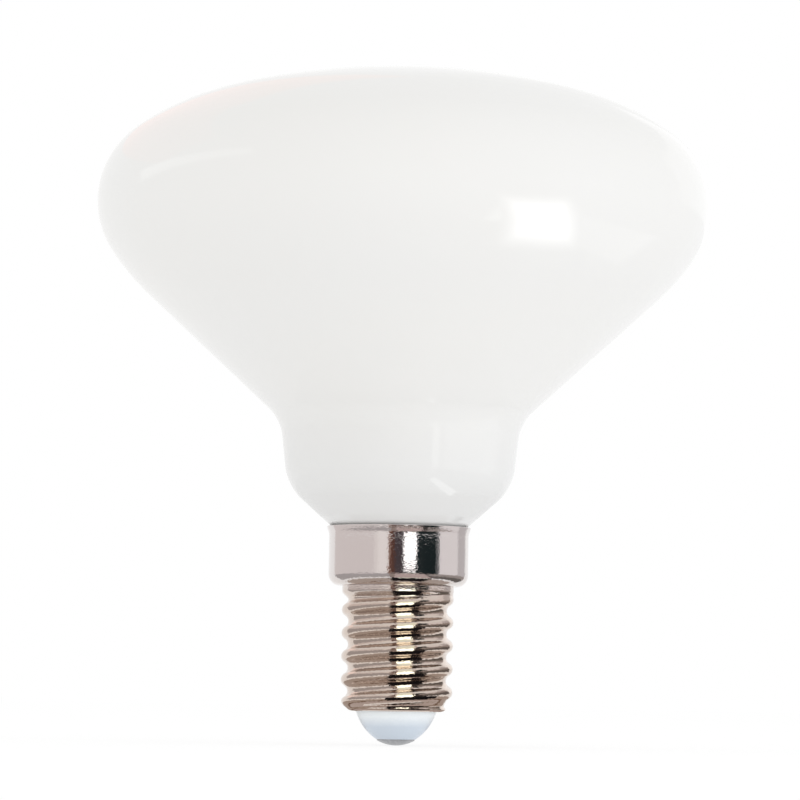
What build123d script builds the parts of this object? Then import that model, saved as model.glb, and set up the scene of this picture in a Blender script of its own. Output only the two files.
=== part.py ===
from build123d import *

import os
from math import acos, asin, ceil, cos, degrees, pi, radians, sin, sqrt, tan

# Reflector bulb: a blown opal glass envelope, cemented into a small skirted screw cap.
# Lengths are millimetres and angles are degrees.
# Z is the axis of the bulb. The origin is the tip of the centre contact, and the dome is up.

# Cap: drawn sheet, with a flared skirt, a barrel and a lip turned in under the insulator
sheet = 0.25
contact_height = 0.75
dome_height = 3.35
lip_height = contact_height + dome_height
lip_round = 1.6
lip_width = 0.2
barrel_length = 15.2
cap_shoulder_height = lip_height + barrel_length
cap_shoulder_round = 1.4
skirt_length = 7.2
rim_height = cap_shoulder_height + skirt_length
rim_flare = 0.3
flare_length = 0.9
flare_round = 1.5

# Rolled thread: right-handed, with crests and grooves of one radius, fading out at both ends
crest_radius = 6.8
thread_pitch = 2.822
thread_depth = 0.8
thread_arc = 0.822
groove_rise = 0.98
foot_fade = 0.8
top_drop = 0.6
top_fade = 1.2
thread_top = cap_shoulder_height - top_drop
lip_levels = 6
levels_per_turn = 6
points_per_turn = 12

skirt_step = 1.7
skirt_radius = crest_radius + skirt_step
lip_hole_radius = crest_radius - lip_round - lip_width
bore_radius = crest_radius - thread_depth - sheet

# Glass: its widest ring, and the arcs that leave it tangent to each other, up and down
glass_radius = 37.5
crown_arc = 88.0
shoulder_arc = 30.0
edge_arc = 10.5
edge_turn = 54.0
under_edge_turn = 34.0
under_arc = 30.0

# Cone, throat and chamfer of the glass, with their slopes measured from the axis
cone_slope = 47.4
throat_radius = 14.67
throat_rise = 12.97
throat_height = rim_height + throat_rise
throat_slope = 6.5
throat_round = 5.0
chamfer_slope = 48.5
chamfer_round = 5.9

# Neck of the glass in the skirt, closed by its seal, with the sealed pumping tube under it
cement_gap = 1.05
neck_radius = skirt_radius - sheet - cement_gap
neck_length = 4.5
seal_height = rim_height - neck_length
seal_taper = 1.2
tube_radius = 1.4
tube_length = 4.0

# Cement between neck and skirt, and the two wires that leave the seal
cement_recess = 1.2
cement_length = 2.0
wire_radius = 0.25
wire_stand = 1.6
wire_offset = tube_radius + wire_stand
side_wire_drop = 0.9

# Insulator, held by the lip, with the contact riveted through its middle
clearance = 0.1
insulator_gap = 0.35
insulator_radius = bore_radius - insulator_gap
insulator_wall = 1.2
insulator_floor_rise = 1.3
insulator_cup_depth = 3.0
insulator_floor = lip_height + insulator_floor_rise
insulator_top = insulator_floor + insulator_cup_depth
contact_radius = 2.3
contact_edge = 0.15
dome_arc = 6.4
dome_ledge = 0.1
shank_radius = 1.1
rivet_radius = 1.8
rivet_height = 0.4


def heading(slope):
    """Down the outline and towards the axis, at this slope from the axis"""
    return Vector(-sin(radians(slope)), -cos(radians(slope)))


def crossing(start, slope, through, other_slope):
    """Where the line from start meets the line through another point"""
    a = heading(slope)
    b = heading(other_slope)
    gap = through - start
    return start + a * ((gap.X * b.Y - gap.Y * b.X) / (a.X * b.Y - a.Y * b.X))


def turned(*outline):
    """The solid that a closed outline, radius against height, makes when turned about the axis"""
    face = make_face([Plane.XZ * edge for edge in outline])
    return revolve(face, Axis.Z).solid()


def widest_height():
    """Where the widest ring lies when the arcs under it meet the cone that rises from the throat"""
    start = radians(under_edge_turn)
    end = radians(cone_slope)
    width = edge_arc * (1 - cos(start)) + under_arc * (cos(start) - cos(end))
    drop = edge_arc * sin(start) + under_arc * (sin(end) - sin(start))
    return throat_height + (glass_radius - width - throat_radius) / tan(end) + drop


def glass_bulb():
    """The sealed envelope, one solid, because nothing of its inside can be seen"""
    widest = (glass_radius, widest_height())
    edge = JernArc(widest, (0, 1), edge_arc, edge_turn)
    shoulder_centre = glass_radius - edge_arc + (edge_arc - shoulder_arc) * cos(radians(edge_turn))
    crown_start = degrees(acos(shoulder_centre / (crown_arc - shoulder_arc)))
    shoulder = JernArc(edge @ 1, edge % 1, shoulder_arc, crown_start - edge_turn)
    crown = JernArc(shoulder @ 1, shoulder % 1, crown_arc, 90 - crown_start)

    under_edge = JernArc(widest, (0, -1), edge_arc, -under_edge_turn)
    under = JernArc(under_edge @ 1, under_edge % 1, under_arc, under_edge_turn - cone_slope)
    throat = Vector(throat_radius, throat_height)
    seat = Vector(skirt_radius - sheet, rim_height)
    neck = Vector(neck_radius, seal_height + seal_taper)
    neck_top = crossing(seat, chamfer_slope, neck, 0)
    outer = FilletPolyline(
        under @ 1,
        throat,
        crossing(throat, throat_slope, seat, chamfer_slope),
        neck_top,
        radius=[throat_round, chamfer_round],
    )
    tube_end = seal_height - tube_length
    seal = Polyline(
        neck_top,
        neck,
        (neck_radius - seal_taper, seal_height),
        (tube_radius, seal_height),
        (tube_radius, tube_end),
        (0, tube_end),
        crown @ 1,
    )
    return turned(edge, shoulder, crown, under_edge, under, outer, seal)


def fade(height, start, length):
    """0 below start, 1 above start + length, with a smooth rise between"""
    share = min(max((height - start) / length, 0), 1)
    return share * share * (3 - 2 * share)


def groove(along):
    """Depth below the crest at this distance along the axis from the middle of a groove"""
    half = thread_pitch / 2
    along = abs((along + half) % thread_pitch - half)
    if along < half / 2:
        return thread_depth - thread_arc + sqrt(thread_arc**2 - along**2)
    return thread_arc - sqrt(thread_arc**2 - (half - along) ** 2)


def barrel_radius(height):
    """Radius of the barrel without its thread, from the round of the lip up to the crests"""
    below = max(lip_height + lip_round - height, 0)
    return crest_radius - lip_round + sqrt(lip_round**2 - below**2)


def thread_section(height):
    """The ring that the barrel shows when it is cut square to the axis"""
    starting = fade(height, lip_height, foot_fade)
    ending = fade(height, thread_top - top_fade, top_fade)
    strength = starting * (1 - ending)
    barrel = barrel_radius(height)
    if strength == 0:
        return Wire([Edge.make_circle(barrel, Plane((0, 0, height)))])
    points = []
    for step in range(points_per_turn):
        turn = step / points_per_turn
        along = height - lip_height - groove_rise - thread_pitch * turn
        radius = barrel - strength * groove(along)
        points.append(Vector(radius * cos(2 * pi * turn), radius * sin(2 * pi * turn), height))
    return Wire([Edge.make_spline(points, periodic=True)])


def threaded_barrel():
    """The rolled barrel with its turned-in lip, filled, as the stack of their sections"""
    straight_foot = lip_height + lip_round
    count = ceil((thread_top - straight_foot) / thread_pitch * levels_per_turn)
    rise = (thread_top - straight_foot) / count
    heights = [straight_foot - lip_round * cos(pi / 2 * step / lip_levels) for step in range(lip_levels)]
    heights += [straight_foot + rise * step for step in range(count + 1)]
    return Solid.make_loft([thread_section(height) for height in heights], ruled=True)


def skirt_form():
    """The skirt and its shoulder, filled, from the top of the thread up to the flared rim"""
    side = FilletPolyline(
        (crest_radius, cap_shoulder_height),
        (skirt_radius, cap_shoulder_height),
        (skirt_radius, rim_height - flare_length),
        (skirt_radius + rim_flare, rim_height),
        radius=[cap_shoulder_round, flare_round],
    )
    ends = Polyline(
        side @ 0, (crest_radius, thread_top), (0, thread_top), (0, rim_height), side @ 1
    )
    return turned(side, ends)


def cap_room():
    """The space in the cap: a plain bore, since nothing shows its inner face, and the skirt"""
    floor = lip_height + sheet
    step = cap_shoulder_height + sheet
    wall = skirt_radius - sheet
    outline = Polyline(
        (0, floor),
        (bore_radius - sheet, floor),
        (bore_radius, lip_height + lip_round),
        (bore_radius, step),
        (skirt_radius - cap_shoulder_round, step),
        (wall, cap_shoulder_height + cap_shoulder_round),
        (wall, rim_height - flare_length),
        (wall + rim_flare, rim_height),
        (0, rim_height),
        close=True,
    )
    return turned(outline)


def cap_shell(room):
    """The drawn and rolled cap, with the hole in its lip"""
    hole = Cylinder(lip_hole_radius, sheet, align=(Align.CENTER, Align.CENTER, Align.MIN))
    form = threaded_barrel() + skirt_form()
    return (form - room - Pos(0, 0, lip_height) * hole).solid()


def cap_insulator():
    """The moulded insulator: a shoulder on the lip, a dome below it and a cup above"""
    neck = lip_hole_radius - clearance
    dome = RadiusArc(
        (neck, lip_height), (contact_radius + dome_ledge, contact_height), dome_arc
    )
    cup = insulator_radius - insulator_wall
    rest = Polyline(
        dome @ 1,
        (shank_radius, contact_height),
        (shank_radius, insulator_floor),
        (cup, insulator_floor),
        (cup, insulator_top),
        (insulator_radius, insulator_top),
        (insulator_radius, lip_height + sheet),
        (neck, lip_height + sheet),
        dome @ 0,
    )
    return turned(dome, rest)


def centre_contact():
    """The domed contact, with the shank and rivet head that hold it in the insulator"""
    edge = contact_height - contact_edge
    dome_arc = (contact_radius**2 + edge**2) / (2 * edge)
    half_turn = degrees(asin(contact_radius / dome_arc))
    dome = CenterArc((0, dome_arc), dome_arc, -90, half_turn)
    rest = Polyline(
        dome @ 1,
        (contact_radius, contact_height),
        (shank_radius, contact_height),
        (shank_radius, insulator_floor),
        (rivet_radius, insulator_floor),
        (rivet_radius, insulator_floor + rivet_height),
        (0, insulator_floor + rivet_height),
        (0, 0),
    )
    return turned(dome, rest)


def cap_cement(room, glass):
    """The ring of cement between the neck and the skirt"""
    blank = Cylinder(skirt_radius, cement_length, align=(Align.CENTER, Align.CENTER, Align.MAX))
    return ((Pos(0, 0, rim_height - cement_recess) * blank & room) - glass).solid()


def centre_lead_wire():
    """From the seal, slanting in to the rivet head of the contact"""
    way = Vector(-wire_offset, 0, insulator_floor + rivet_height - seal_height)
    start = Pos(wire_offset, 0, seal_height) * Circle(wire_radius)
    return extrude(start, way.length, way).solid()


def side_lead_wire():
    """From the seal, down and out to the inner face of the skirt"""
    level = seal_height - side_wire_drop
    reach = sqrt((skirt_radius - sheet) ** 2 - wire_radius**2)
    route = Polyline((-wire_offset, seal_height), (-wire_offset, level), (-reach, level))
    start = Pos(-wire_offset, 0, seal_height) * Circle(wire_radius)
    return sweep(start, Plane.XZ * route, transition=Transition.RIGHT).solid()


room = cap_room()
glass = glass_bulb()
nodes = {
    "glass_bulb": glass,
    "cap_shell": cap_shell(room),
    "cap_cement": cap_cement(room, glass),
    "cap_insulator": cap_insulator(),
    "centre_contact": centre_contact(),
    "centre_lead_wire": centre_lead_wire(),
    "side_lead_wire": side_lead_wire(),
}

os.makedirs("parts", exist_ok=True)
for name, solid in nodes.items():
    export_step(solid, f"parts/{name}.step")
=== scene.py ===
import math

import bmesh
import bpy
from mathutils import Euler, Matrix, Vector


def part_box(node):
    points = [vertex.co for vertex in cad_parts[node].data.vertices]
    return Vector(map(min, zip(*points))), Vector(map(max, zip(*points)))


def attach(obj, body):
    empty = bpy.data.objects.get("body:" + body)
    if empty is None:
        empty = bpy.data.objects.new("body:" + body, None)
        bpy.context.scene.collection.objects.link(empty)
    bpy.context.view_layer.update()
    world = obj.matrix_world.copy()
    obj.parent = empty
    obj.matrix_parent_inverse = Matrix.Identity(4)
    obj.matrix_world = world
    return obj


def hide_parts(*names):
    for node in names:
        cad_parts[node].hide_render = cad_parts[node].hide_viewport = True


mm = 0.001
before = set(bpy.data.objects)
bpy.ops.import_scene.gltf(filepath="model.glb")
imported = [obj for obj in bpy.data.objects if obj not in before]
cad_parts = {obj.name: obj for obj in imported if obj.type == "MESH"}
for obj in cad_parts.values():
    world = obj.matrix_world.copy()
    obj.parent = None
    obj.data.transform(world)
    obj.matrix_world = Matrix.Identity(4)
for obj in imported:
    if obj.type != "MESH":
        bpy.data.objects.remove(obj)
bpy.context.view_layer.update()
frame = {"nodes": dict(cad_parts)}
print("frame loaded:", ", ".join(frame["nodes"]))


# mesh helpers

meshing = {
    "creaseAngle": 32,      # edges that turn by more stay crisp, degrees
    "mergeDistance": 1e-7,
}


def startOutline(bm, radius, height):
    return bm.verts.new((radius * mm, 0, height * mm))


def lineTo(bm, tip, radius, height):
    tip = bmesh.ops.extrude_vert_indiv(bm, verts=[tip])["verts"][0]
    tip.co = (radius * mm, 0, height * mm)
    return tip


def arcFrom(bm, tip, centre, turn, steps):
    # positive turns run from the axis outwards and down
    spun = bmesh.ops.spin(
        bm, geom=[tip], cent=(centre[0] * mm, 0, centre[1] * mm), axis=(0, 1, 0),
        angle=math.radians(turn), steps=steps, use_duplicate=False,
    )
    return spun["geom_last"][0]


def roundCorner(bm, corner, radius, turn, steps):
    # the bevel's offset is the length of the tangent
    tangent = radius * math.tan(math.radians(turn) / 2)
    bmesh.ops.bevel(
        bm, geom=[corner], offset=tangent * mm, offset_type="OFFSET",
        segments=steps, profile=0.5, affect="VERTICES", material=-1,
    )


def turnOutline(bm, steps):
    bmesh.ops.spin(
        bm, geom=bm.verts[:] + bm.edges[:], cent=(0, 0, 0), axis=(0, 0, 1),
        angle=math.tau, steps=steps, use_merge=True, use_duplicate=False,
    )
    bmesh.ops.remove_doubles(bm, verts=bm.verts, dist=meshing["mergeDistance"])
    bmesh.ops.recalc_face_normals(bm, faces=bm.faces)


def finishPiece(bm, name, node, material):
    for face in bm.faces:
        face.smooth = True
    mesh = bpy.data.meshes.new(name)
    bm.to_mesh(mesh)
    bm.free()
    piece = bpy.data.objects.new(name, mesh)
    bpy.context.collection.objects.link(piece)
    mesh.materials.append(material)
    mesh.set_sharp_from_angle(angle=math.radians(meshing["creaseAngle"]))
    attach(piece, "root")
    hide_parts(node)
    print(name, "made with", len(mesh.polygons), "faces")


# material helpers

def linear(hexColour):
    channels = [int(hexColour[i:i + 2], 16) / 255 for i in (1, 3, 5)]
    return [c / 12.92 if c <= 0.04045 else ((c + 0.055) / 1.055) ** 2.4 for c in channels] + [1.0]


def newMaterial(name):
    material = bpy.data.materials.new(name)
    material.use_nodes = True
    return material, material.node_tree, material.node_tree.nodes["Principled BSDF"]


def addNode(tree, kind, settings=None, links=None):
    node = tree.nodes.new(kind)
    for key, value in (settings or {}).items():
        if isinstance(key, str) and hasattr(node, key):
            setattr(node, key, value)
        else:
            node.inputs[key].default_value = value
    for key, source in (links or {}).items():
        tree.links.new(source, node.inputs[key])
    return node


def objectMillimetres(tree):
    place = addNode(tree, "ShaderNodeTexCoord")
    perMetre = 1 / mm
    return addNode(tree, "ShaderNodeMapping", {"Scale": (perMetre, perMetre, perMetre)},
                   {"Vector": place.outputs["Object"]})


# opal glass

opalGlass = {
    "white": "#EEEEED",
    "warmWhite": "#EEEDEA",
    # the neck's greyer white is painted shade
    "neckPaintedShade": "#E6E6E5",
    "neckEnd": 30.0,        # the neck's painted shade fades out from here to the bowl, mm
    "bowlStart": 44.0,
    "roughness": 0.09,
    "ior": 1.5,
    "unevenSize": 26.0,     # slow waves of blown glass, mm
    "unevenDepth": 0.02,
}


def makeOpalGlass():
    # blown soda-lime glass, opal-lined inside: a milk white under a clear gloss, greyer on the neck as
    # painted shade
    material, tree, shader = newMaterial("opalGlass")
    coords = objectMillimetres(tree)
    tint = addNode(tree, "ShaderNodeTexNoise", {"Scale": 1 / opalGlass["unevenSize"], "Detail": 2.0},
                   {"Vector": coords.outputs[0]})
    ramp = addNode(tree, "ShaderNodeValToRGB", None, {"Fac": tint.outputs["Fac"]})
    ramp.color_ramp.elements[0].color = linear(opalGlass["warmWhite"])
    ramp.color_ramp.elements[1].color = linear(opalGlass["white"])
    height = addNode(tree, "ShaderNodeSeparateXYZ", None, {0: coords.outputs[0]})
    # painted shade: the neck is greyer below neckEnd and turns to the bowl's white by bowlStart
    neckShadeFade = addNode(tree, "ShaderNodeMapRange",
                   {"interpolation_type": "SMOOTHSTEP", "From Min": opalGlass["neckEnd"],
                    "From Max": opalGlass["bowlStart"]}, {"Value": height.outputs["Z"]})
    colour = addNode(tree, "ShaderNodeMix", {"data_type": "RGBA", 6: linear(opalGlass["neckPaintedShade"])},
                     {0: neckShadeFade.outputs[0], 7: ramp.outputs[0]})
    wave = addNode(tree, "ShaderNodeBump", {"Strength": 0.2, "Distance": opalGlass["unevenDepth"] * mm},
                   {"Height": tint.outputs["Fac"]})
    tree.links.new(colour.outputs[2], shader.inputs["Base Color"])
    tree.links.new(wave.outputs[0], shader.inputs["Normal"])
    shader.inputs["Roughness"].default_value = opalGlass["roughness"]
    shader.inputs["IOR"].default_value = opalGlass["ior"]
    return material


# bright nickel

nickelPlate = {
    "clean": "#DCD6D4",
    "paintedThreadReflection": "#D4C5BA",    # the thread, warmer and darker as a painted reflection of brown surroundings
    "roughness": 0.09,
    "markPitch": 0.24,       # rolling marks round the cap, mm
    "markDepth": 0.0009,
    "waveUnit": math.tau / 20,    # the width of one band of a wave texture at scale 1
    "grainSize": 0.34,       # orange peel of the plate, drawn out round the cap, mm
    "grainStretch": 2.2,
    "grainDepth": 0.036,
    "threadTop": 19.0,       # where the thread ends and the skirt starts, mm
    "tintFade": 3.0,         # height over which the painted reflection fades, mm
    "tintPatch": 2.5,        # patches that make its edge uneven, mm
    "tintReach": 3.0,
}


def makeNickelPlate():
    # nickel on drawn brass: warm grey and bright, with fine marks round it from the rolling; the thread is
    # warmer and darker as a painted reflection
    material, tree, shader = newMaterial("nickelPlate")
    coords = objectMillimetres(tree)
    marks = addNode(
        tree, "ShaderNodeTexWave",
        {"wave_type": "BANDS", "bands_direction": "Z", "wave_profile": "SIN",
         "Scale": nickelPlate["waveUnit"] / nickelPlate["markPitch"], "Distortion": 1.2, "Detail": 3.0,
         "Detail Scale": 0.4},
        {"Vector": coords.outputs[0]},
    )
    patches = addNode(tree, "ShaderNodeTexNoise", {"Scale": 1 / nickelPlate["tintPatch"], "Detail": 3.0},
                      {"Vector": coords.outputs[0]})
    height = addNode(tree, "ShaderNodeSeparateXYZ", None, {0: coords.outputs[0]})
    # painted reflection: the thread's colour fades into the clean skirt's above threadTop, with an uneven
    # edge
    uneven = addNode(tree, "ShaderNodeMath", {"operation": "MULTIPLY_ADD", 1: nickelPlate["tintReach"]},
                     {0: patches.outputs["Fac"], 2: height.outputs["Z"]})
    tintEnd = nickelPlate["threadTop"] + nickelPlate["tintFade"]
    ramp = addNode(tree, "ShaderNodeMapRange", {"From Min": nickelPlate["threadTop"], "From Max": tintEnd},
                   {"Value": uneven.outputs[0]})
    colour = addNode(tree, "ShaderNodeMix", {"data_type": "RGBA", 6: linear(nickelPlate["paintedThreadReflection"]),
                                             7: linear(nickelPlate["clean"])}, {0: ramp.outputs[0]})
    bump = addNode(tree, "ShaderNodeBump", {"Strength": 0.5, "Distance": nickelPlate["markDepth"] * mm},
                   {"Height": marks.outputs["Fac"]})
    flattened = addNode(tree, "ShaderNodeMapping", {"Scale": (1, 1, nickelPlate["grainStretch"])},
                        {"Vector": coords.outputs[0]})
    grain = addNode(tree, "ShaderNodeTexNoise", {"Scale": 1 / nickelPlate["grainSize"], "Detail": 1.0},
                    {"Vector": flattened.outputs[0]})
    peel = addNode(tree, "ShaderNodeBump", {"Strength": 0.5, "Distance": nickelPlate["grainDepth"] * mm},
                   {"Height": grain.outputs["Fac"], "Normal": bump.outputs[0]})
    tree.links.new(colour.outputs[2], shader.inputs["Base Color"])
    tree.links.new(peel.outputs[0], shader.inputs["Normal"])
    shader.inputs["Metallic"].default_value = 1.0
    shader.inputs["Roughness"].default_value = nickelPlate["roughness"]
    return material


# glass insulator of the cap

capInsulator = {
    # shoulder is a painted highlight under the lip, dome a painted shade on the lower dome
    "shoulder": "#F6FCFF",
    "dome": "#D1DBE6",
    "domeTop": 2.4,         # the painted highlight starts here and is full at shoulderFoot, up to the lip, mm
    "shoulderFoot": 3.6,
    "unevenReach": 0.3,     # how far the grain shifts that change, mm
    "roughness": 0.3,
    "grain": 0.35,          # moulding grain, mm
    "grainDepth": 0.01,
}


def makeCapInsulator():
    # pressed milky glass with a satin skin: the bluish dome is darkened as painted shade, and the whiter
    # band at the lip is a painted highlight
    material, tree, shader = newMaterial("pressedInsulator")
    coords = objectMillimetres(tree)
    grain = addNode(tree, "ShaderNodeTexNoise", {"Scale": 1 / capInsulator["grain"], "Detail": 3.0},
                    {"Vector": coords.outputs[0]})
    height = addNode(tree, "ShaderNodeSeparateXYZ", None, {0: coords.outputs[0]})
    uneven = addNode(tree, "ShaderNodeMath", {"operation": "MULTIPLY_ADD", 1: capInsulator["unevenReach"]},
                     {0: grain.outputs["Fac"], 2: height.outputs["Z"]})
    # painted highlight and shade: whiter towards the lip, darker down the dome
    paintedLightRamp = addNode(tree, "ShaderNodeMapRange",
                   {"From Min": capInsulator["domeTop"], "From Max": capInsulator["shoulderFoot"]},
                   {"Value": uneven.outputs[0]})
    colour = addNode(tree, "ShaderNodeMix", {"data_type": "RGBA", 6: linear(capInsulator["dome"]),
                                             7: linear(capInsulator["shoulder"])}, {0: paintedLightRamp.outputs[0]})
    bump = addNode(tree, "ShaderNodeBump", {"Strength": 0.25, "Distance": capInsulator["grainDepth"] * mm},
                   {"Height": grain.outputs["Fac"]})
    tree.links.new(colour.outputs[2], shader.inputs["Base Color"])
    tree.links.new(bump.outputs[0], shader.inputs["Normal"])
    shader.inputs["Roughness"].default_value = capInsulator["roughness"]
    return material


# soldered contact

contactMetal = {
    "bright": "#C0C1C3",
    "dull": "#8E9094",
    "roughness": 0.3,
    "dimple": 0.3,          # frozen solder, mm
    "dimpleDepth": 0.05,
}


def makeContactMetal():
    # tinned brass with a film of solder: dull grey and slightly lumpy
    material, tree, shader = newMaterial("solderedContact")
    coords = objectMillimetres(tree)
    lumps = addNode(tree, "ShaderNodeTexNoise", {"Scale": 1 / contactMetal["dimple"], "Detail": 2.0},
                    {"Vector": coords.outputs[0]})
    ramp = addNode(tree, "ShaderNodeValToRGB", None, {"Fac": lumps.outputs["Fac"]})
    ramp.color_ramp.elements[0].color = linear(contactMetal["dull"])
    ramp.color_ramp.elements[1].color = linear(contactMetal["bright"])
    bump = addNode(tree, "ShaderNodeBump", {"Strength": 0.5, "Distance": contactMetal["dimpleDepth"] * mm},
                   {"Height": lumps.outputs["Fac"]})
    tree.links.new(ramp.outputs[0], shader.inputs["Base Color"])
    tree.links.new(bump.outputs[0], shader.inputs["Normal"])
    shader.inputs["Metallic"].default_value = 1.0
    shader.inputs["Roughness"].default_value = contactMetal["roughness"]
    return material


# hidden pieces of the cap

hiddenPieces = {
    "cement": "#B8AD98",
    "cementRoughness": 0.9,
    "cementGrain": 0.4,     # sand in the cement, mm
    "cementDepth": 0.08,
    "copper": "#B87455",
    "copperRoughness": 0.3,
    "drawMarks": 0.1,       # marks of the die, mm
    "drawDepth": 0.005,
}


def makeCement():
    # baked basing cement: a matt buff grey with a sandy grain
    material, tree, shader = newMaterial("basingCement")
    coords = objectMillimetres(tree)
    grain = addNode(tree, "ShaderNodeTexNoise", {"Scale": 1 / hiddenPieces["cementGrain"], "Detail": 5.0},
                    {"Vector": coords.outputs[0]})
    bump = addNode(tree, "ShaderNodeBump", {"Strength": 0.6, "Distance": hiddenPieces["cementDepth"] * mm},
                   {"Height": grain.outputs["Fac"]})
    tree.links.new(bump.outputs[0], shader.inputs["Normal"])
    shader.inputs["Base Color"].default_value = linear(hiddenPieces["cement"])
    shader.inputs["Roughness"].default_value = hiddenPieces["cementRoughness"]
    return material


def makeCopperWire():
    # drawn copper wire: reddish, with faint marks from the die
    material, tree, shader = newMaterial("copperWire")
    coords = objectMillimetres(tree)
    marks = addNode(tree, "ShaderNodeTexNoise", {"Scale": 1 / hiddenPieces["drawMarks"]},
                    {"Vector": coords.outputs[0]})
    bump = addNode(tree, "ShaderNodeBump", {"Strength": 0.2, "Distance": hiddenPieces["drawDepth"] * mm},
                   {"Height": marks.outputs["Fac"]})
    tree.links.new(bump.outputs[0], shader.inputs["Normal"])
    shader.inputs["Base Color"].default_value = linear(hiddenPieces["copper"])
    shader.inputs["Metallic"].default_value = 1.0
    shader.inputs["Roughness"].default_value = hiddenPieces["copperRoughness"]
    return material


# envelope, from the crown down to the pumping tube, mm and degrees

envelope = {
    "crownArc": 88.0,
    "crownSteps": 28,
    "shoulderArc": 30.0,
    "shoulderSteps": 20,
    "edgeArc": 10.5,
    "edgeTurn": 54.0,
    "underEdgeTurn": 34.0,
    "edgeSteps": 44,
    "underArc": 30.0,
    "underSteps": 14,
    "coneSlope": 47.4,
    "throatRadius": 14.67,
    "throatHeight": 39.47,
    "throatSlope": 6.5,
    "throatRound": 5.0,
    "chamferSlope": 48.5,
    "chamferRound": 5.9,
    "roundSteps": 16,       # the throat's and the chamfer's
    "neckRadius": 7.2,
    "cementGap": 1.05,      # between the neck and the chamfer's foot, for the cement
    "sealHeight": 22.0,
    "sealTaper": 1.2,
    "tubeRadius": 1.4,
    "turnSteps": 256,
}


def makeEnvelope(material):
    e = envelope
    low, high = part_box("glass_bulb")
    radius = high[0] / mm
    top = high[2] / mm
    bottom = low[2] / mm
    edgeCosine = math.cos(math.radians(e["edgeTurn"]))
    shoulderCentre = radius - e["edgeArc"] + (e["edgeArc"] - e["shoulderArc"]) * edgeCosine
    crownTurn = math.degrees(math.asin(shoulderCentre / (e["crownArc"] - e["shoulderArc"])))
    shoulderTurn = 90 - e["edgeTurn"] - crownTurn

    # four arcs, each starting where the last one ends and in its direction
    bm = bmesh.new()
    tip = startOutline(bm, 0, top)
    centre = Vector((0, top - e["crownArc"]))
    lastArc = e["crownArc"]
    for arc, turn, steps in (
        (e["crownArc"], crownTurn, e["crownSteps"]),
        (e["shoulderArc"], shoulderTurn, e["shoulderSteps"]),
        (e["edgeArc"], e["edgeTurn"] + e["underEdgeTurn"], e["edgeSteps"]),
        (e["underArc"], e["coneSlope"] - e["underEdgeTurn"], e["underSteps"]),
    ):
        away = Vector((tip.co.x / mm, tip.co.z / mm)) - centre
        centre += away * (1 - arc / lastArc)
        tip = arcFrom(bm, tip, centre, turn, steps)
        lastArc = arc

    throat = lineTo(bm, tip, e["throatRadius"], e["throatHeight"])
    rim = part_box("cap_shell")[1][2] / mm
    seatRadius = e["neckRadius"] + e["cementGap"]
    throatTan = math.tan(math.radians(e["throatSlope"]))
    chamferTan = math.tan(math.radians(e["chamferSlope"]))
    seatWidth = e["throatRadius"] - seatRadius
    drop = (seatWidth - (e["throatHeight"] - rim) * chamferTan) / (throatTan - chamferTan)
    chamfer = lineTo(bm, throat, e["throatRadius"] - drop * throatTan, e["throatHeight"] - drop)
    tip = lineTo(bm, chamfer, e["neckRadius"], rim - (seatRadius - e["neckRadius"]) / chamferTan)
    tip = lineTo(bm, tip, e["neckRadius"], e["sealHeight"] + e["sealTaper"])
    tip = lineTo(bm, tip, e["neckRadius"] - e["sealTaper"], e["sealHeight"])
    tip = lineTo(bm, tip, e["tubeRadius"], e["sealHeight"])
    tip = lineTo(bm, tip, e["tubeRadius"], bottom)
    lineTo(bm, tip, 0, bottom)
    roundCorner(bm, throat, e["throatRound"], e["coneSlope"] - e["throatSlope"], e["roundSteps"])
    roundCorner(bm, chamfer, e["chamferRound"], e["chamferSlope"] - e["throatSlope"], e["roundSteps"])
    turnOutline(bm, e["turnSteps"])
    finishPiece(bm, "envelope", "glass_bulb", material)


# cap, one drawn and rolled sheet, mm

cap = {
    "sheet": 0.25,
    "lipHoleRadius": 5.0,
    "lipRound": 1.6,
    "lipSteps": 26,
    "crestRadius": 6.8,
    "boreRadius": 5.75,
    "shoulderRound": 1.4,
    "shoulderSteps": 18,
    "skirtRadius": 8.5,
    "rimFlare": 0.3,
    "flareLength": 0.9,
    "flareRound": 1.5,
    "flareSteps": 8,
    "barrelLength": 15.2,
    "edgeRound": 0.08,
    "edgeSteps": 4,
    "barrelRows": 230,
    "skirtRows": 24,
    "turnSteps": 256,
    "pitch": 2.822,
    "depth": 0.8,
    "threadArc": 0.822,     # the radius of the crests and of the grooves
    "grooveRise": 0.98,     # the groove's height above the lip, at the right of the front
    "footFade": 0.8,
    "topDrop": 0.6,
    "topFade": 1.2,
}


def smoothRise(height, start, length):
    share = min(max((height - start) / length, 0), 1)
    return share * share * (3 - 2 * share)


def grooveDepth(along):
    # one groove to each pitch, deepest where along is a whole number of pitches
    half = cap["pitch"] / 2
    along = abs((along + half) % cap["pitch"] - half)
    if along < half / 2:
        return cap["depth"] - cap["threadArc"] + math.sqrt(cap["threadArc"] ** 2 - along ** 2)
    return cap["threadArc"] - math.sqrt(cap["threadArc"] ** 2 - (half - along) ** 2)


def rollThread(bm, lip, shoulder):
    # presses the groove into the plain barrel and the round of its lip, vertex by vertex
    top = shoulder - cap["topDrop"]
    floor = lip + cap["sheet"] - cap["edgeRound"]
    for vert in bm.verts:
        height = vert.co.z / mm
        radius = math.hypot(vert.co.x, vert.co.y) / mm
        inside = cap["boreRadius"] if height > floor else cap["crestRadius"] - cap["lipRound"]
        if radius <= inside or not lip < height < top:
            continue
        turn = math.atan2(vert.co.y, vert.co.x) / math.tau
        starting = smoothRise(height, lip, cap["footFade"])
        ending = smoothRise(height, top - cap["topFade"], cap["topFade"])
        groove = grooveDepth(height - lip - cap["grooveRise"] - cap["pitch"] * turn)
        pressed = radius - starting * (1 - ending) * groove
        vert.co.x *= pressed / radius
        vert.co.y *= pressed / radius


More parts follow.
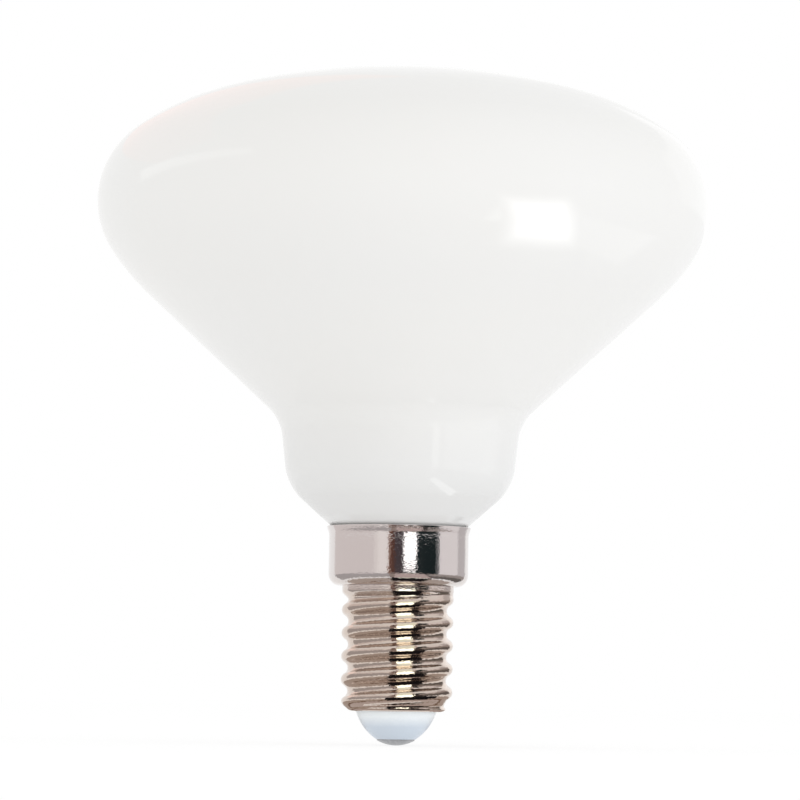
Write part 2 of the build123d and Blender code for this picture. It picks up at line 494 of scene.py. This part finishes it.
def makeCap(material):
    c = cap
    low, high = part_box("cap_shell")
    lip = low[2] / mm
    rim = high[2] / mm
    shoulder = lip + c["barrelLength"]
    barrelFoot = lip + c["lipRound"]
    wallFoot = shoulder + c["shoulderRound"]
    wall = c["skirtRadius"] - c["sheet"]
    flareTurn = math.degrees(math.atan(c["rimFlare"] / c["flareLength"]))

    # the outer face, from the hole in the lip up to the rim
    bm = bmesh.new()
    holeTop = startOutline(bm, c["lipHoleRadius"], lip + c["sheet"])
    holeFoot = lineTo(bm, holeTop, c["lipHoleRadius"], lip)
    tip = lineTo(bm, holeFoot, c["crestRadius"] - c["lipRound"], lip)
    tip = arcFrom(bm, tip, (c["crestRadius"] - c["lipRound"], barrelFoot), -90, c["lipSteps"])
    for row in range(c["barrelRows"]):
        rise = (shoulder - barrelFoot) * (row + 1) / c["barrelRows"]
        tip = lineTo(bm, tip, c["crestRadius"], barrelFoot + rise)
    tip = lineTo(bm, tip, c["skirtRadius"] - c["shoulderRound"], shoulder)
    tip = arcFrom(bm, tip, (c["skirtRadius"] - c["shoulderRound"], wallFoot), -90, c["shoulderSteps"])
    flareFoot = tip
    for row in range(c["skirtRows"]):
        rise = (rim - c["flareLength"] - wallFoot) * (row + 1) / c["skirtRows"]
        flareFoot = lineTo(bm, flareFoot, c["skirtRadius"], wallFoot + rise)
    rimOuter = lineTo(bm, flareFoot, c["skirtRadius"] + c["rimFlare"], rim)

    # the inner face, back down to the lip
    rimInner = lineTo(bm, rimOuter, wall + c["rimFlare"], rim)
    tip = lineTo(bm, rimInner, wall, rim - c["flareLength"])
    tip = lineTo(bm, tip, wall, wallFoot)
    tip = lineTo(bm, tip, c["skirtRadius"] - c["shoulderRound"], shoulder + c["sheet"])
    tip = lineTo(bm, tip, c["boreRadius"], shoulder + c["sheet"])
    tip = lineTo(bm, tip, c["boreRadius"], barrelFoot)
    tip = lineTo(bm, tip, c["boreRadius"] - c["sheet"], lip + c["sheet"])
    bm.edges.new((tip, holeTop))

    roundCorner(bm, flareFoot, c["flareRound"], flareTurn, c["flareSteps"])
    for corner in (rimOuter, rimInner, holeFoot):
        roundCorner(bm, corner, c["edgeRound"], 90, c["edgeSteps"])
    turnOutline(bm, c["turnSteps"])
    rollThread(bm, lip, shoulder)
    finishPiece(bm, "capSheet", "cap_shell", material)


makeEnvelope(makeOpalGlass())
makeCap(makeNickelPlate())

# the CAD nodes that stay

copperWire = makeCopperWire()
nodeFinish = {
    "cap_insulator": makeCapInsulator(),
    "centre_contact": makeContactMetal(),
    "cap_cement": makeCement(),
    "centre_lead_wire": copperWire,
    "side_lead_wire": copperWire,
}
for node, material in nodeFinish.items():
    frame["nodes"][node].material_slots[0].material = material
print("nodes finished:", ", ".join(nodeFinish))


# studio

studio = {
    "floorSize": 3.0,       # m
    "floorWhite": 0.92,
    "floorGlow": 1.07,      # with the shadow's share of the matt floor this comes to white in the open
    "shadowShare": 0.3,
    "bounceShare": 0.36,    # the glow's share in the light that the floor throws up
    "ambient": 0.9,
    "aimHeight": 50.0,      # what the lamps point at, mm
}


def whiteToView(tree):
    # 1 for camera rays, glossy rays and rays through glass, and 0 for the rays that light things
    rays = addNode(tree, "ShaderNodeLightPath")
    glossyToo = addNode(tree, "ShaderNodeMath", {"operation": "MAXIMUM"},
                        {0: rays.outputs["Is Camera Ray"], 1: rays.outputs["Is Glossy Ray"]})
    clearToo = addNode(tree, "ShaderNodeMath", {"operation": "MAXIMUM"},
                       {0: glossyToo.outputs[0], 1: rays.outputs["Is Transmission Ray"]})
    return clearToo.outputs[0]


def makeWorld():
    world = bpy.data.worlds.new("whiteStudio")
    bpy.context.scene.world = world
    world.use_nodes = True
    tree = world.node_tree
    tree.nodes.clear()
    white = linear("#FFFFFF")
    soft = addNode(tree, "ShaderNodeBackground", {"Color": white, "Strength": studio["ambient"]})
    seen = addNode(tree, "ShaderNodeBackground", {"Color": white, "Strength": 1.0})
    mix = addNode(tree, "ShaderNodeMixShader", None,
                  {0: whiteToView(tree), 1: soft.outputs[0], 2: seen.outputs[0]})
    addNode(tree, "ShaderNodeOutputWorld", None, {"Surface": mix.outputs[0]})


def makeFloor():
    bm = bmesh.new()
    bmesh.ops.create_grid(bm, x_segments=1, y_segments=1, size=studio["floorSize"])
    mesh = bpy.data.meshes.new("floor")
    bm.to_mesh(mesh)
    bm.free()
    floor = bpy.data.objects.new("floor", mesh)
    bpy.context.collection.objects.link(floor)
    material, tree, shader = newMaterial("paleFloor")
    tree.nodes.remove(shader)
    matt = addNode(tree, "ShaderNodeBsdfDiffuse", {"Color": [studio["floorWhite"]] * 3 + [1]})
    glow = addNode(tree, "ShaderNodeEmission",
                   {"Color": linear("#FFFFFF"), "Strength": studio["floorGlow"]})
    share = addNode(tree, "ShaderNodeMapRange",
                    {"To Min": studio["bounceShare"], "To Max": 1 - studio["shadowShare"]},
                    {"Value": whiteToView(tree)})
    mix = addNode(tree, "ShaderNodeMixShader", None,
                  {0: share.outputs[0], 1: matt.outputs[0], 2: glow.outputs[0]})
    tree.links.new(mix.outputs[0], tree.nodes["Material Output"].inputs["Surface"])
    mesh.materials.append(material)


def placeAround(azimuth, distance, height):
    # azimuth 0 is the camera's side and 90 is to its right
    a = math.radians(azimuth)
    return Vector((math.sin(a) * distance, -math.cos(a) * distance, height)) * mm


def finishCard(bm, name, colour, strength):
    # a glowing card that only shows in what mirrors it
    mesh = bpy.data.meshes.new(name)
    bm.to_mesh(mesh)
    bm.free()
    card = bpy.data.objects.new(name, mesh)
    bpy.context.collection.objects.link(card)
    material, tree, shader = newMaterial(name)
    tree.nodes.remove(shader)
    glow = addNode(tree, "ShaderNodeEmission", {"Color": linear(colour), "Strength": strength})
    tree.links.new(glow.outputs[0], tree.nodes["Material Output"].inputs["Surface"])
    mesh.materials.append(material)
    card.visible_camera = False
    card.visible_diffuse = False
    card.visible_shadow = False


makeWorld()
makeFloor()


# curved cards close round the cap, radii and heights in mm

ring = {
    "facet": 3,             # degrees
    "inner": 9.5,
    "outer": 24.0,
    "foot": 1.0,
    "low": 6.0,
    "middle": 14.0,
    "split": 19.0,          # the thread mirrors what is below it and the skirt what is above
    "high": 27.2,
    "lidGap": 0.4,
    "tableHeight": 0.8,
    "tableHole": 5.6,
    "tableMiddle": 9.0,
    "tableEdge": 10.2,
    "barRadius": 23.6,      # the white bar stands before the dark screens
    "barLow": 21.6,
    "barHigh": 26.6,
    "shadeHeight": 18.9,    # what the flare and the skirt's foot look down on
    "glowHeight": 18.7,     # what the thread looks up at
    "lipScreen": 8.4,
    "lipScreenLow": 4.0,
    "lipScreenHigh": 5.9,
}


def ringEdges():
    # the radius and height of each kind of card at its edges
    r = ring
    lidHeight = r["high"] + r["lidGap"]
    return {
        "nearTable": [(r["tableHole"], r["tableHeight"]), (r["tableMiddle"], r["tableHeight"])],
        "innerTable": [(r["tableMiddle"], r["tableHeight"]), (r["tableEdge"], r["tableHeight"])],
        "outerTable": [(r["tableEdge"], r["tableHeight"]), (r["outer"], r["tableHeight"])],
        "lid": [(r["inner"], lidHeight), (r["outer"], lidHeight)],
        "skirtWall": [(r["outer"], r["split"]), (r["outer"], r["high"])],
        "bar": [(r["barRadius"], r["barLow"]), (r["barRadius"], r["barHigh"])],
        "threadWall": [(r["outer"], r["low"]), (r["outer"], r["split"])],
        "threadTop": [(r["outer"], r["middle"]), (r["outer"], r["split"])],
        "threadFoot": [(r["outer"], r["low"]), (r["outer"], r["middle"])],
        "shade": [(r["inner"], r["shadeHeight"]), (r["outer"], r["shadeHeight"])],
        "glow": [(r["inner"], r["glowHeight"]), (r["outer"], r["glowHeight"])],
        "lipScreen": [(r["lipScreen"], r["lipScreenLow"]), (r["lipScreen"], r["lipScreenHigh"])],
        "foot": [(r["inner"], r["foot"]), (r["outer"], r["foot"]), (r["outer"], r["low"])],
    }


# name, first and last azimuth, kind, colour, strength
ringCards = [
    ("nearTable", 0, 360, "nearTable", "#C4BAB6", 1.0),
    ("innerTable", 0, 360, "innerTable", "#745C4C", 1.0),
    ("outerTable", 0, 360, "outerTable", "#B6AAA2", 1.0),
    ("lid", 0, 360, "lid", "#FFFFFF", 0.9),
    ("leftWall", -112, -34, "skirtWall", "#E5DEDD", 1.0),
    ("leftStep", -34, -28, "skirtWall", "#EFE9E7", 1.0),
    ("leftFlat", -28, -14, "skirtWall", "#F9F4F2", 1.0),
    ("brownEdge", -14, -11, "skirtWall", "#9A7C6E", 1.0),
    ("brownScreen", -11, -5, "skirtWall", "#5E4038", 1.0),
    ("blackScreen", -5, 15, "skirtWall", "#4A4246", 1.0),
    ("greenScreen", 15, 54, "skirtWall", "#142022", 1.0),
    ("greenEdge", 54, 59, "skirtWall", "#6E7072", 1.0),
    ("whiteBar", 7, 24, "bar", "#FFFFFF", 2.0),
    ("rightWall", 59, 98, "skirtWall", "#F0ECED", 1.0),
    ("rightEnd", 98, 124, "skirtWall", "#CCC8C9", 1.0),
    ("lowLeft", -112, -12, "threadWall", "#B4B0B0", 1.0),
    ("lowMiddle", -12, -1, "threadWall", "#998A84", 1.0),
    ("lowBar", -1, 30, "threadWall", "#FAFFF0", 2.6),
    ("upDark", 30, 42, "threadTop", "#4C4644", 1.0),
    ("upRight", 42, 124, "threadTop", "#A49C98", 1.0),
    ("lowDark", 30, 48, "threadFoot", "#403A38", 1.0),
    ("lowRight", 48, 124, "threadFoot", "#6E6966", 1.0),
    ("barShade", -4, 33, "shade", "#C2B0AC", 1.0),
    ("barGlow", -1, 30, "glow", "#FAFFF0", 1.1),
    ("lipScreen", -14, 58, "lipScreen", "#1A181A", 1.0),
    ("blackFoot", -14, 58, "foot", "#1A181A", 1.0),
]


def makeRingCard(name, start, end, edge, colour, strength):
    bm = bmesh.new()
    tip = bm.verts.new(placeAround(start, *edge[0]))
    for radius, height in edge[1:]:
        tip = bmesh.ops.extrude_vert_indiv(bm, verts=[tip])["verts"][0]
        tip.co = placeAround(start, radius, height)
    bmesh.ops.spin(
        bm, geom=bm.verts[:] + bm.edges[:], cent=(0, 0, 0), axis=(0, 0, 1),
        angle=math.radians(end - start), steps=max(1, round((end - start) / ring["facet"])),
        use_duplicate=False,
    )
    finishCard(bm, name, colour, strength)


edges = ringEdges()
for name, start, end, kind, colour, strength in ringCards:
    makeRingCard(name, start, end, edges[kind], colour, strength)
print("cap cards placed:", len(ringCards))


# flat cards that the glass mirrors, each with its middle and its two sides, mm

bowlLight = {
    "middle": (29.3, -38.6, 47.3),
    "across": (12.4, 9.2, 2.4),
    "up": (2.4, -13.5, 13.4),
    "layerShift": 0.1,
    # each layer's share of the size, and its strength
    "layers": [(1.3, 1.35), (1.15, 1.9), (1.0, 2.7), (0.86, 3.8), (0.7, 5.5)],
}

# name, middle, across, up, colour, strength
panels = [
    ("neckLight", (71.3, -23.2, 16), (28.4, 87.5, 0), (0, 0, 30), "#FFFFFF", 1.35),
    ("neckEdge", (39.7, -63.6, 16), (6.6, 4.2, 0), (0, 0, 30), "#FFFFFF", 1.9),
    ("neckArm", (6.8, -12.9, 28.4), (1.4, 5.5, 0), (1.6, -0.4, 0), "#FFFFFF", 2.4),
    ("pinkPanel", (-495, 495, 540), (-778, -778, 0), (226, -226, 317), "#FFEFEB", 1.12),
    ("streakTube", (-850, -37, 394), (37, -847, 317), (0, 48, 130), "#FFFFFF", 1.5),
    ("rightPanel", (553, 790, 330), (-655, 459, 0), (0, 0, 480), "#FFFFFF", 1.15),
]


def makePanel(name, middle, across, up, colour, strength):
    bm = bmesh.new()
    sides = Matrix((across, up, Vector(across).cross(up).normalized())).transposed().to_4x4()
    bmesh.ops.create_grid(
        bm, x_segments=1, y_segments=1, size=0.5,
        matrix=Matrix.Scale(mm, 4) @ Matrix.Translation(middle) @ sides,
    )
    finishCard(bm, name, colour, strength)


def makeBowlLight():
    # the softbox is brightest in its middle and fades to its cloth edge
    x, y, z = bowlLight["middle"]
    for layer, (share, strength) in enumerate(bowlLight["layers"]):
        shift = layer * bowlLight["layerShift"]
        across = Vector(bowlLight["across"]) * share
        up = Vector(bowlLight["up"]) * share
        makePanel(f"bowlLight{layer}", (x - shift, y + shift, z), across, up, "#FFFFFF", strength)


makeBowlLight()
for panel in panels:
    makePanel(*panel)
print("glass cards placed:", len(bowlLight["layers"]) + len(panels))


# lamps

# name, azimuth, distance and height in mm, size in m, power, colour
lamps = [
    ("rightSoftbox", (66, 900, 30), (0.5, 0.28), 1.7, "#F4F8FF"),
    ("frontFill", (-5, 900, 78), (0.5, 0.3), 0.76, "#FFFCF8"),
    ("leftFill", (-95, 900, 450), (0.5, 0.3), 0.15, "#FFFFFF"),
]


def makeLamp(name, place, size, power, colour):
    data = bpy.data.lights.new(name, "AREA")
    data.shape = "RECTANGLE"
    data.size, data.size_y = size
    data.energy = power
    data.color = linear(colour)[:3]
    lamp = bpy.data.objects.new(name, data)
    bpy.context.collection.objects.link(lamp)
    lamp.location = placeAround(*place)
    aim = Vector((0, 0, studio["aimHeight"] * mm)) - lamp.location
    lamp.rotation_euler = aim.to_track_quat("-Z", "Y").to_euler()
    lamp.visible_glossy = False


for lamp in lamps:
    makeLamp(*lamp)
print("studio lit")


# camera, at the photo's place and tilt, mm and degrees

camera = {
    "distance": 480.0,
    "eyeHeight": 5.47,
    "pitch": 4.36,
    "roll": 0.9,
    "lens": 177.26,
    "sensor": 36,
    "shift": -0.00125,      # share of the frame's width
    "nearest": 10.0,
    "farthest": 20000.0,
}


def makeCamera():
    data = bpy.data.cameras.new("camera")
    data.lens = camera["lens"]
    data.shift_x = camera["shift"]
    data.sensor_width = camera["sensor"]
    data.clip_start = camera["nearest"] * mm
    data.clip_end = camera["farthest"] * mm
    shot = bpy.data.objects.new("camera", data)
    bpy.context.collection.objects.link(shot)
    level = Matrix.Translation((0, -camera["distance"] * mm, camera["eyeHeight"] * mm))
    tilt = Euler((math.radians(90 + camera["pitch"]), 0, 0)).to_matrix().to_4x4()
    roll = Matrix.Rotation(math.radians(camera["roll"]), 4, "Z")
    shot.matrix_world = level @ tilt @ roll
    bpy.context.scene.camera = shot


makeCamera()
print("camera placed")
bpy.context.scene.view_settings.view_transform = "Standard"
